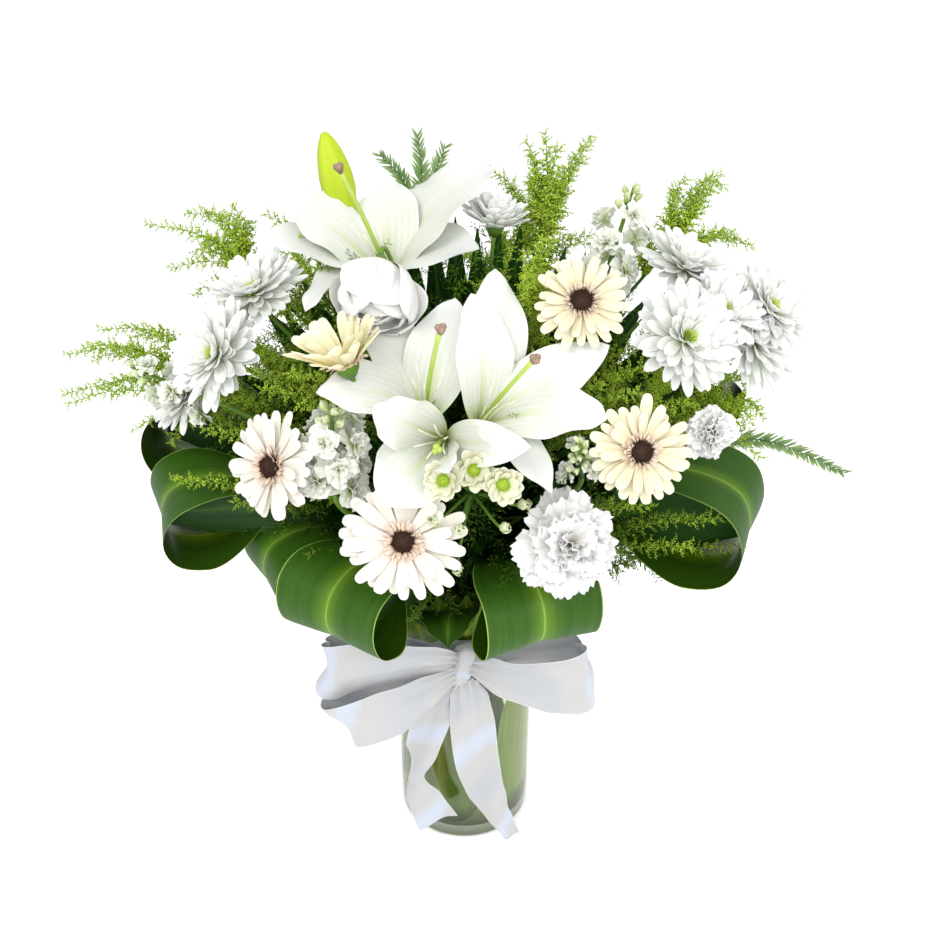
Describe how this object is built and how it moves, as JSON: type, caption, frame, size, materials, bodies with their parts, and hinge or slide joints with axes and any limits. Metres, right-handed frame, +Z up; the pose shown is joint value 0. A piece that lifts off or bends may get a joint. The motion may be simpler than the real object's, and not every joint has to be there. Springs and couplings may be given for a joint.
{
  "type": "lilies in a vase",
  "caption": "Dome of white lilies, gerberas, chrysanthemums, carnations and stock with goldenrod and folded leaves, in a clear glass cylinder vase of water with a white satin bow.",
  "frame": {"origin": "centre of the vase's foot, on the surface it stands on", "axes": "+Z up along the vase, -Y towards the front of the bouquet, +X to its right as seen from the front"},
  "size_m": [0.6443, 0.413, 0.654],
  "materials": {
    "glass": "clear, thick base",
    "water": "clear, faintly green",
    "satin": "white satin with a cool sheen",
    "folded_leaf": "waxy, with a yellow-green midrib band",
    "lining_leaf": "wet, mid green",
    "lily_petal": "soft white, yellow-green throat",
    "pistil": "smooth green",
    "bud": "smooth yellow-green",
    "gerbera_petal": "cream white",
    "gerbera_cream": "cream",
    "gerbera_yellow": "pale yellow",
    "gerbera_disc": "dark, rough",
    "mum_petal": "white",
    "daisy_petal": "cream",
    "carnation_petal": "white, frilled",
    "stock_floret": "white, greenish at the middle",
    "goldenrod": "yellow-green, fine",
    "fern": "matt green",
    "stem": "smooth green"
  },
  "bodies": {
    "root": {"carnation_back": "carnation_petal", "carnation_centre": "carnation_petal", "carnation_front": "carnation_petal", "carnation_right": "carnation_petal", "daisies": "daisy_petal", "fern_right": "fern", "fern_top": "fern", "gerbera_back": "gerbera_cream", "gerbera_back_disc": "gerbera_disc", "gerbera_front": "gerbera_petal", "gerbera_front_disc": "gerbera_disc", "gerbera_left": "gerbera_petal", "gerbera_left_disc": "gerbera_disc", "gerbera_right": "gerbera_cream", "gerbera_right_disc": "gerbera_disc", "gerbera_yellow": "gerbera_yellow", "gerbera_yellow_disc": "gerbera_disc", "goldenrod_back_left": "goldenrod", "goldenrod_back_right": "goldenrod", "goldenrod_centre": "goldenrod", "goldenrod_left_high": "goldenrod", "goldenrod_left_low": "goldenrod", "goldenrod_right_high": "goldenrod", "goldenrod_right_low": "goldenrod", "goldenrod_top": "goldenrod", "leaf_back": "folded_leaf", "leaf_back_left": "folded_leaf", "leaf_back_right": "folded_leaf", "leaf_front_left": "folded_leaf", "leaf_front_right": "folded_leaf", "leaf_front_short": "folded_leaf", "leaf_left": "folded_leaf", "leaf_left_front": "folded_leaf", "leaf_left_high": "folded_leaf", "leaf_right": "folded_leaf", "leaf_right_high": "folded_leaf", "lilies_front": "lily_petal", "lily_back": "lily_petal", "lily_bud": "bud", "lily_pistil_back": "pistil", "lily_pistil_left": "pistil", "lily_pistil_right": "pistil", "lining_leaf_left": "lining_leaf", "lining_leaf_right": "lining_leaf", "mum_back": "mum_petal", "mum_left": "mum_petal", "mum_left_high": "mum_petal", "mum_right": "mum_petal", "mum_right_high": "mum_petal", "mum_right_outer": "mum_petal", "mum_top": "mum_petal", "ribbon_band": "satin", "ribbon_bow": "satin", "stems": "stem", "stock_far_left": "stock_floret", "stock_left": "stock_floret", "stock_right": "stock_floret", "stock_top": "stock_floret", "vase": "glass", "water": "water"}
  },
  "joints": []
}
